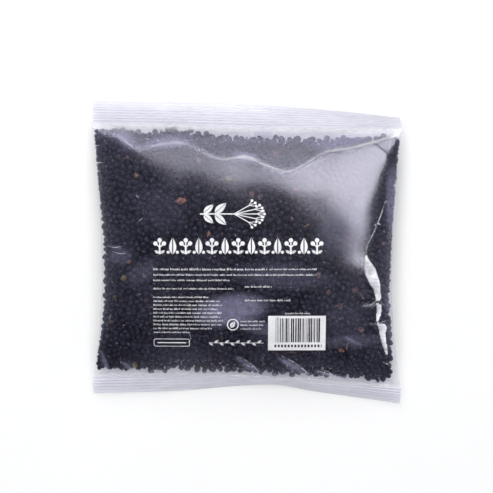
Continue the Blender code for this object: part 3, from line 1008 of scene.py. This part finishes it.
FRONT_CELLS = (280, 230)
BACK_CELLS = (120, 96)
DENT = 0.003 * MM  # depth of the front film's dents, a berry's radius from the nearest middle
BUCKLE = 0.22 * MM  # height of its broad buckles
RIPPLE = 0.004 * MM  # and of its fine ones
SEAL_COLUMNS = 200
ROWS_PER_RIB = 8
RIB_PITCH = 2.0 * MM
RIB_HEIGHT = 0.34 * MM
SEAL_BUCKLE = 0.35 * MM
FADE_START, FADE_RUN, FADE = 0.65, 0.1, 0.5  # of the seal's width, and how much lower its outer ribs are


def sag_between(berries, x, y):
    """How far the film sinks between the berries that hold it up."""
    held = berries.places[berries.shown | berries.loose]
    tree = kdtree.KDTree(len(held))
    for i, p in enumerate(held):
        tree.insert((p[0], p[1], 0), i)
    tree.balance()
    near = np.array([tree.find((a, b, 0))[2] for a, b in zip(x, y)])
    return DENT * np.clip(near / BERRY_RADIUS, 0, 1.3) ** 2


ON_BORDER = 0.9995  # of the half width or half length


def make_front_film(finish, berries):
    """The front film, and a tree of its faces for laying the print on."""
    s, t = bag_grid(*FRONT_CELLS)
    x, y = s * half_width(t), along(s, t)
    inside = (1 - np.abs(s) ** 12) * (1 - np.abs(t) ** 12)
    flat = as_points(x, y, np.zeros_like(x))
    buckles = BUCKLE * noise_at(flat, 60) + RIPPLE * noise_at(flat, 300, 4.0)
    z = front_at(x, y) + inside * (buckles - sag_between(berries, x, y))
    on_border = (np.abs(s) > ON_BORDER) | (np.abs(t) > ON_BORDER)
    z = np.where(on_border, front_height(s, t), z)
    points, faces = as_points(x, y, z), grid_faces(*FRONT_CELLS)
    piece = add_piece("front_film", points, faces, finish, ["film_front"])
    # The film's values for its milk carry painted reflections, highlights and light.
    set_values(piece, "haze_and_reflections", haze_and_reflections_at(x, y))
    set_values(piece, "buckle_highlight", buckle_highlights_at(x, y))
    set_values(piece, "white", painted_light_at(x, y, s, t))
    return bvhtree.BVHTree.FromPolygons(points.tolist(), faces.tolist())


def make_back_film(finish):
    s, t = bag_grid(*BACK_CELLS)
    x, y = s * half_width(t), along(s, t)
    points = as_points(x, y, back_height(s, t))
    add_piece("back_film", points, grid_faces(*BACK_CELLS)[:, ::-1], finish, ["film_back"])


def make_end_seal(name, node, top, finish):
    """A crimp seal: ribs along the bag's width, fainter in the outer third."""
    width = TOP_SEAL_WIDTH if top else BOTTOM_SEAL_WIDTH
    roots, edges = (TOP_ROOT, TOP_EDGE) if top else (BOTTOM_ROOT, BOTTOM_EDGE)
    ribs = round(width / RIB_PITCH)
    rows = ribs * ROWS_PER_RIB
    s = np.tile(np.linspace(-1, 1, SEAL_COLUMNS + 1), rows + 1)
    share = np.repeat(np.linspace(0, 1, rows + 1), SEAL_COLUMNS + 1)
    root, edge = smooth_through(roots, s), smooth_through(edges, s)
    droop = np.sqrt(width**2 - (edge - root) ** 2) * share**2
    fade = 1 - FADE * np.clip((share - FADE_START) / FADE_RUN, 0, 1)
    rib = fade * np.sin(2 * np.pi * ribs * share)
    x, y = s * HALF_WIDTH, root + (edge - root) * share
    flat = as_points(x, y, np.zeros_like(x))
    wave = SEAL_BUCKLE * noise_at(flat, 55) * np.sin(np.pi * np.clip(share, 0, 1)) ** 0.5
    z = seal_height(s, top) - droop + RIB_HEIGHT / 2 * rib + wave
    faces = grid_faces(SEAL_COLUMNS, rows)
    points = as_points(x, y, z)
    piece = add_piece(name, points, faces if top else faces[:, ::-1], finish, [node])
    # Painted shade between the ribs follows their phase.
    set_values(piece, "groove_shade", 0.5 - 0.5 * rib)


# ---------------------------------------------------------------- the print

INK_LIFT = 0.08 * MM  # above the film
INK_CELL = 1.2  # mm
INK_COLUMN = -58.9  # mm: the print's left edge

# Rows of small marks that stand for the print's text: left, right, middle height and mark height, in mm.
TEXT_ROWS = (
    (INK_COLUMN, 12.6, -10.2, 1.35),
    (14.2, 44.1, -10.2, 1.1),
    (INK_COLUMN, 42.6, -13.7, 1.1),
    (INK_COLUMN, -10.6, -17.1, 1.1),
    (INK_COLUMN, -8.1, -22.4, 1.1),
    (-1.3, 15.6, -21.1, 1.2),
    (-1.3, 27.3, -29.7, 1.2),
    (24.0, 39.7, -38.0, 1.0),
    (-3.9, 11.3, -43.0, 1.0),
    (-3.9, 10.0, -45.4, 1.0),
    (-3.9, 9.0, -47.8, 1.0),
)

# A block of such rows, in mm: the first one's y, the step from row to row, their height and their right ends.
BLOCK_TOP, BLOCK_PITCH, BLOCK_MARK = -27.8, 2.48, 1.05
BLOCK_RIGHTS = (-24, -17, -15, -18.5, -16, -17, -15, -15.5, -22, -36)


class FlatShapes:
    """Flat shapes, gathered in millimetres and then laid on the film."""

    def __init__(self):
        self.points, self.faces = [], []

    def add(self, points, faces):
        self.faces += [tuple(int(i) + len(self.points) for i in face) for face in faces]
        self.points += [tuple(p) for p in points]

    def bar(self, left, bottom, right, top):
        columns = max(1, math.ceil((right - left) / INK_CELL))
        rows = max(1, math.ceil((top - bottom) / INK_CELL))
        x = np.tile(np.linspace(left, right, columns + 1), rows + 1)
        y = np.repeat(np.linspace(bottom, top, rows + 1), columns + 1)
        self.add(as_points(x, y), grid_faces(columns, rows))

    def ribbon(self, path, width):
        """A stroke along a path of (x, y) points."""
        path = np.array(path, float)
        ahead = np.gradient(path, axis=0)
        ahead /= np.linalg.norm(ahead, axis=1)[:, None]
        side = as_points(-ahead[:, 1], ahead[:, 0]) * (np.broadcast_to(width, len(path))[:, None] / 2)
        points = as_points(path - side, path + side).reshape(-1, 2)
        self.add(points, [(2 * i, 2 * i + 2, 2 * i + 3, 2 * i + 1) for i in range(len(path) - 1)])

    def line(self, x1, y1, x2, y2, width):
        steps = max(2, math.ceil(math.hypot(x2 - x1, y2 - y1) / INK_CELL) + 1)
        self.ribbon(as_points(np.linspace(x1, x2, steps), np.linspace(y1, y2, steps)), width)

    def disc(self, x, y, radius, sides=14):
        angles = np.arange(sides) * math.tau / sides
        ring = as_points(np.cos(angles), np.sin(angles))
        middle = np.array([[x, y]])
        points = np.concatenate([middle, middle + ring * radius / 2, middle + ring * radius])
        after = (np.arange(sides) + 1) % sides
        inner, outer = 1 + np.arange(sides), 1 + sides + np.arange(sides)
        self.add(points, [(0, a, b) for a, b in zip(inner, inner[after])])
        self.faces += [
            tuple(int(i) + len(self.points) - len(points) for i in face)
            for face in zip(inner, outer, outer[after], inner[after])
        ]

    def leaf(self, x, y, length, width, angle, midrib=0.35):
        """A leaf from its stalk end at x and y, in two halves with a clear midrib between them."""
        steps = max(4, round(length / INK_CELL) + 1)
        share = np.linspace(0, 1, steps + 1)
        half = width / 2 * np.sin(np.pi * share**0.8) ** 0.9
        faces = grid_faces(steps, 2)
        for side in (1, -1):
            inner, outer = np.minimum(half, midrib / 2) * side, half * side
            off = np.concatenate([inner, (inner + outer) / 2, outer])
            dx, dy = turned(np.tile(share * length, 3), off, angle)
            self.add(as_points(x + dx, y + dy), faces if side > 0 else faces[:, ::-1])

    def lay_on(self, film, name, finish):
        """Makes a piece of the shapes that follows the film's surface."""
        down = Vector((0, 0, -1))
        laid = []
        for x, y in self.points:
            hit = film.ray_cast(Vector((x * MM, y * MM, 2 * SWELL_HEIGHT + SIDE_FOLD_HEIGHT)), down)[0]
            laid.append((x * MM, y * MM, hit.z + INK_LIFT))
        add_piece(name, laid, self.faces, finish)


def print_sprig(ink):
    """A sprig of elder lying on its side: a stalk with leaves, and an umbel of berries."""
    stalk_left, fork, middle = -29.5, -8.0, 24.4
    ink.line(stalk_left, middle, fork, middle, 0.8)
    for x, size in ((-27.0, 0.85), (-20.0, 1.0)):
        for side in (1, -1):
            ink.leaf(x, middle + 0.5 * side, 9.5 * size, 4.6 * size, side * 42)
    for i in range(5):
        angle = math.radians(-50 + 25 * i)
        rise = 6.2 * math.sin(angle) / math.sin(math.radians(50)) * 0.85
        tip = fork + 14.5 * math.cos(angle), middle + rise
        ink.line(fork, middle, *tip, 0.6)
        for k in (-1, 0, 1):
            spread = 0.6 * angle + 0.62 * k
            end = tip[0] + 4.6 * math.cos(spread), tip[1] + 3.4 * math.sin(spread)
            ink.line(*tip, *end, 0.4)
            ink.disc(*end, 0.85)


def print_frieze(ink):
    """A band of umbels and leaves in turn, as bold as a title."""
    left, right, bottom, top = INK_COLUMN, 48.2, -0.9, 9.6
    count = 13
    pitch = (right - left) / count
    for i in range(count):
        x = left + pitch * (i + 0.5)
        if i % 2:
            ink.leaf(x, bottom, top - bottom, 4.6, 90, 0.7)
            ink.disc(x - 2.9, bottom + 1.3, 1.0)
            ink.disc(x + 2.9, bottom + 1.3, 1.0)
            continue
        fork = bottom + 4.4
        ink.line(x, bottom, x, fork, 1.15)
        for dx, dy in ((-2.7, 2.4), (0, 4.4), (2.7, 2.4)):
            ink.line(x, fork, x + dx, fork + dy, 0.8)
            ink.disc(x + dx, fork + dy, 1.4)
        for side in (1, -1):
            ink.leaf(x + 0.4 * side, bottom + 0.6, 3.6, 1.7, 90 - 58 * side, 0.2)


def print_rows(ink, rng):
    """Small marks in rows, parted into groups, where a real bag has its small text."""
    rows = list(TEXT_ROWS)
    for i, right in enumerate(BLOCK_RIGHTS):
        rows.append((INK_COLUMN, right, BLOCK_TOP - BLOCK_PITCH * i, BLOCK_MARK))
    for left, right, middle, height in rows:
        stroke, x, word_left = height * 0.27, left, 0.0
        while x < right - stroke:
            if word_left <= 0:
                word_left = height * rng.uniform(1.6, 6.0)
                x += height * 0.5 if x > left else 0.0
            low = middle - height / 2
            high = middle + height * (0.5 if rng.uniform() < 0.3 else 0.18)
            ink.bar(x, low, x + stroke, high)
            if rng.uniform() < 0.5:
                ink.bar(x + stroke, low, x + 2 * stroke, low + stroke)
            step = stroke * rng.uniform(2.1, 2.9)
            x += step
            word_left -= step


def print_frame(ink, left, bottom, right, top, corner, width):
    """An outlined box with round corners."""
    turn = np.linspace(0, math.pi / 2, 5)
    path = []
    for x, y, start in (
        (right - corner, top - corner, 0), (left + corner, top - corner, 1),
        (left + corner, bottom + corner, 2), (right - corner, bottom + corner, 3),
    ):
        angles = turn + start * math.pi / 2
        path += list(zip(x + corner * np.cos(angles), y + corner * np.sin(angles)))
    path.append(path[0])
    for (x1, y1), (x2, y2) in itertools.pairwise(path):
        ink.line(x1, y1, x2, y2, width)


def print_badge(ink):
    """A ring with a leaf in it."""
    x, y, radius = -8.8, -45.2, 3.4
    angles = np.linspace(0, math.tau, 28)
    ink.ribbon(as_points(x + radius * np.cos(angles), y + radius * np.sin(angles)), 0.7)
    ink.leaf(x - 1.4, y - 1.9, 4.8, 2.9, 55, 0.3)


def print_garland(ink):
    """A low row of small leaves along a stem."""
    left, right, y, pitch = -24.0, 10.6, -57.0, 3.4
    ink.line(left, y, right, y, 0.3)
    for i in range(round((right - left) / pitch)):
        ink.leaf(left + pitch * i, y, 3.3, 1.3, 32 if i % 2 else -32, 0.15)


def print_stripes(ink, rng):
    """A white panel with a window of uneven stripes that stand for nothing."""
    left, bottom, right, top = 13.4, -61.8, 49.8, -39.6
    stripes_left, stripes_right, stripes_low, stripes_high = 18.2, 46.2, -56.6, -41.2
    window_left, window_right = stripes_left - 1.6, stripes_right + 1.2
    marks_low, marks_high = -60.3, -57.6
    ink.bar(left, bottom, window_left, top)
    ink.bar(window_right, bottom, right, top)
    ink.bar(window_left, stripes_high, window_right, top)
    ink.bar(window_left, bottom, window_right, marks_low)
    ink.bar(window_left, stripes_low, stripes_left, stripes_high)
    ink.bar(stripes_right, stripes_low, window_right, stripes_high)
    ink.bar(window_left, marks_high, window_right, stripes_low)
    x, module = stripes_left, 0.3
    while x < stripes_right - 6 * module:
        x += module * rng.integers(1, 4)
        white = module * rng.integers(1, 3)
        ink.bar(x, stripes_low, x + white, stripes_high)
        x += white
    x, gap, mark, rim = window_left, 0.9, 1.2, 0.5
    while x < stripes_right:
        ink.bar(x, marks_low, x + gap, marks_high)
        x += gap
        ink.bar(x, marks_low, x + mark, marks_low + rim)
        ink.bar(x, marks_high - rim, x + mark, marks_high)
        x += mark


def make_print(film, finish):
    rng = np.random.default_rng(3)
    ink = FlatShapes()
    print_sprig(ink)
    print_frieze(ink)
    print_rows(ink, rng)
    print_frame(ink, INK_COLUMN, -59.3, -36.3, -54.6, 1.1, 0.35)
    ink.bar(INK_COLUMN + 2.2, -57.3, -38.5, -56.7)
    print_badge(ink)
    print_garland(ink)
    print_stripes(ink, rng)
    ink.lay_on(film, "white_print", finish)


def make_crease_highlights(film, finish):
    """White marks along the crests of the film's sharp creases, painted highlights, tapered to their ends."""
    marks = FlatShapes()
    for width, *path in CREASE_HIGHLIGHTS:
        path = np.array(path, float)
        steps = 6 * (len(path) - 1)
        at = np.linspace(0, len(path) - 1, steps + 1)
        numbers = np.arange(len(path))
        curve = as_points(*(smooth_through(as_points(numbers, c), at) for c in path.T))
        taper = 0.25 + 0.75 * np.sin(np.pi * np.linspace(0, 1, steps + 1)) ** 0.5
        marks.ribbon(curve, width * taper)
    marks.lay_on(film, "film_crease_highlights", finish)


# ---------------------------------------------------------------- stage, lights and camera

VIEW_WIDTH = 319 * MM  # what the camera sees across, at the height of the seals
VIEW_HEIGHT = 9.0 * MM
LENS, SENSOR = 100.0, 36.0


def add_camera():
    data = bpy.data.cameras.new("Camera")
    data.lens, data.sensor_width = LENS, SENSOR
    camera = bpy.data.objects.new("Camera", data)
    bpy.context.scene.collection.objects.link(camera)
    camera.location = (-0.2 * MM, 4.0 * MM, VIEW_HEIGHT + VIEW_WIDTH * LENS / SENSOR)
    bpy.context.scene.camera = camera


def add_lamp(name, size, radiance, location, rotation, seen_in_gloss):
    """A softbox that gives either the even light or the mirrored highlights."""
    data = bpy.data.lights.new(name, "AREA")
    data.shape = "RECTANGLE"
    data.size, data.size_y = size
    data.energy = radiance * math.pi * size[0] * size[1]
    lamp = bpy.data.objects.new(name, data)
    bpy.context.scene.collection.objects.link(lamp)
    lamp.location, lamp.rotation_euler = location, rotation
    lamp.visible_camera = False
    lamp.visible_glossy, lamp.visible_diffuse = seen_in_gloss, not seen_in_gloss
    return data


def add_facing_lamp(name, aim, distance, size, radiance, seen_in_gloss):
    direction = Vector(aim).normalized()
    turned = direction.to_track_quat("Z", "Y").to_euler()
    return add_lamp(name, size, radiance, direction * distance, turned, seen_in_gloss)


def soften_edges(data, across, along):
    """Shades a softbox over its width and height by (place, brightness) stops."""
    n = Nodes(data)
    place = n.add("SeparateXYZ", Vector=n.add("NewGeometry").outputs["Parametric"])
    strength = n.maths("MULTIPLY", n.ramp(place.outputs["X"], across), n.ramp(place.outputs["Y"], along))
    n.done(n.add("Emission", Strength=strength).outputs[0], "OutputLight")


def add_world():
    """Pale walls under a dark ceiling."""
    n = Nodes(bpy.data.worlds.new("Studio"))
    direction = n.add("SeparateXYZ", Vector=n.add("TexCoord").outputs["Generated"])
    walls = n.ramp(direction.outputs["Z"], ((0.0, 0.85), (0.30, 0.50), (0.55, 0.09)))
    far = n.maths("ADD", n.maths("MULTIPLY", direction.outputs["Y"], 0.5), 0.5)
    strength = n.maths("MULTIPLY", walls, n.ramp(far, ((0.25, 0.5), (0.85, 1.0))))
    background = n.add("Background", Color=(0.84, 0.87, 1.0, 1), Strength=strength)
    bpy.context.scene.world = n.done(background.outputs[0], "OutputWorld")


def add_stage():
    points = [(-4, -4, -0.0001), (4, -4, -0.0001), (4, 4, -0.0001), (-4, 4, -0.0001)]
    add_mesh("floor", points, [(0, 1, 2, 3)], floor_material())
    bpy.context.scene.view_settings.view_transform = "Standard"


def add_lights():
    """Even light from above and from +Y, and the softboxes that the film and the seals mirror."""
    add_world()
    add_facing_lamp("Key", (-0.2, 0.98, 0.8), 1.6, (0.7, 0.7), 4.5, False)
    add_lamp("Overhead", (2.4, 2.4), 2.38, (0, 0, 1.8), (0, 0, 0), False)
    softbox = add_lamp("Softbox", (2.5, 1.35), 12.3, (0.411, 1.1, 1.2), (0, 0, math.radians(-35)), True)
    soften_edges(
        softbox,
        ((0.0, 0.25), (0.24, 0.36), (0.365, 0.40), (0.467, 0.68), (0.62, 1.0), (0.92, 1.0), (1.0, 0.3)),
        ((0.0, 0.0), (0.1, 0.9), (0.2, 1.0), (0.75, 1.0), (1.0, 0.4)),
    )
    far_strip = add_facing_lamp("Far strip", (0.0, 0.9, 0.44), 1.6, (2.6, 0.3), 4.8, True)
    soften_edges(
        far_strip,
        ((0.0, 0.3), (0.3, 1.0), (1.0, 1.0)),
        ((0.0, 0.2), (0.4, 1.0), (0.6, 1.0), (1.0, 0.2)),
    )
    add_facing_lamp("Far wall", (0.0, 0.98, 0.2), 1.9, (4.0, 0.7), 2.8, True)


# ---------------------------------------------------------------- the whole bag


def refinish(node, finish):
    """Gives a CAD piece that stays its material."""
    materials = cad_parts[node].data.materials
    materials.clear()
    materials.append(finish)


def make_bag():
    film, back = film_material("Clear film", 0.055), film_material("Clear back film", 0.03)
    berry = berry_material()
    stem = woody_material("Elder stem", (0.05, 0.032, 0.022), (0.18, 0.12, 0.075))
    leaf = woody_material("Dry leaf", (0.035, 0.017, 0.018), (0.27, 0.095, 0.055))
    rng = np.random.default_rng(7)
    films = HeightMap(front_at), HeightMap(back_at)
    berries = Berries(rng, berry, films)
    berries.add_all()
    make_core(berry)
    make_stem_bits(rng, films[0], stem)
    make_leaf_bits(films[0], leaf)
    front = make_front_film(film, berries)
    make_back_film(back)
    make_end_seal("top_seal", "top_crimp_seal", True, seal_material("Crimped film, top", 0.95, 0.36))
    # The bottom seal's lower tint is painted shade.
    shaded_bottom_finish = seal_material("Crimped film, bottom, painted shade", 0.88, 0.42)
    make_end_seal("bottom_seal", "bottom_crimp_seal", False, shaded_bottom_finish)
    make_print(front, ink_material())
    make_crease_highlights(front, crease_highlight_material())
    refinish("back_fin_seal", seal_material("Fin seal", 0.97, 0.05))
    for name in sorted(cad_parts):
        if name.startswith("stem_bit"):
            refinish(name, stem)


add_camera()
add_stage()
add_lights()
make_bag()
